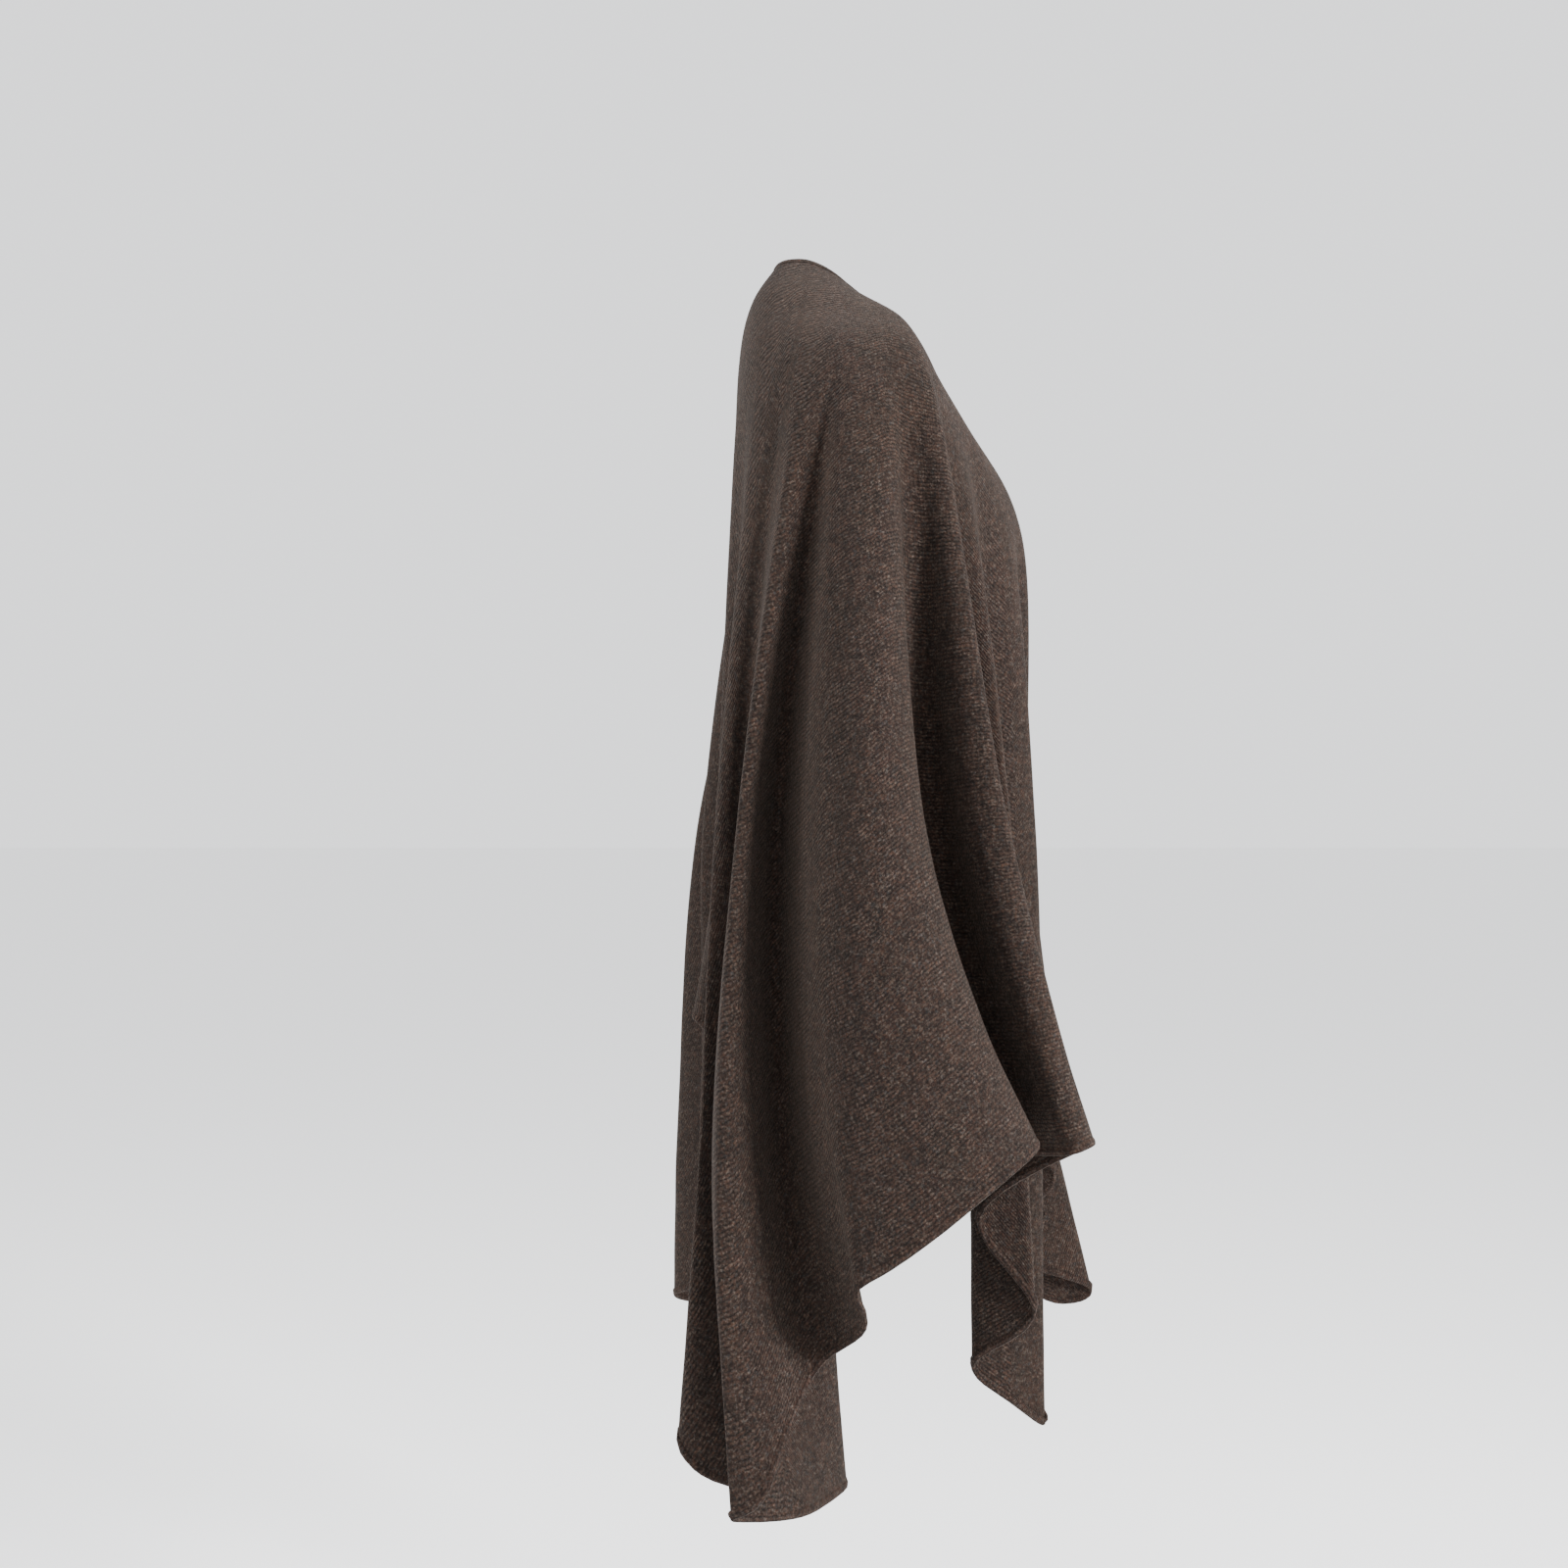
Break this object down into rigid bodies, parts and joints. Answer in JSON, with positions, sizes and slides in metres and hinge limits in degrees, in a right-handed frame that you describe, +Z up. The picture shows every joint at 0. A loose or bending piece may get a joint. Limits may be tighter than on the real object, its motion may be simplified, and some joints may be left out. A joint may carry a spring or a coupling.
{
  "type": "ruana wrap",
  "caption": "Knitted wool ruana wrap in the form it takes when worn: a rectangle with a centre front slit, falling in deep folds to points at the corners.",
  "frame": {"origin": "middle of the base of the wearer's neck, where the wrap is held: it rests on the neck and shoulders round this point", "axes": "+Z up, +Y towards the wearer's back, -Y towards the wearer's front, -X towards the wearer's right arm"},
  "size_m": [0.6439, 0.4153, 1.0218],
  "materials": {
    "wool_knit": "heathered dark brown wool knit, brushed and matt"
  },
  "bodies": {
    "root": {"wrap_cloth": "wool_knit"}
  },
  "joints": []
}
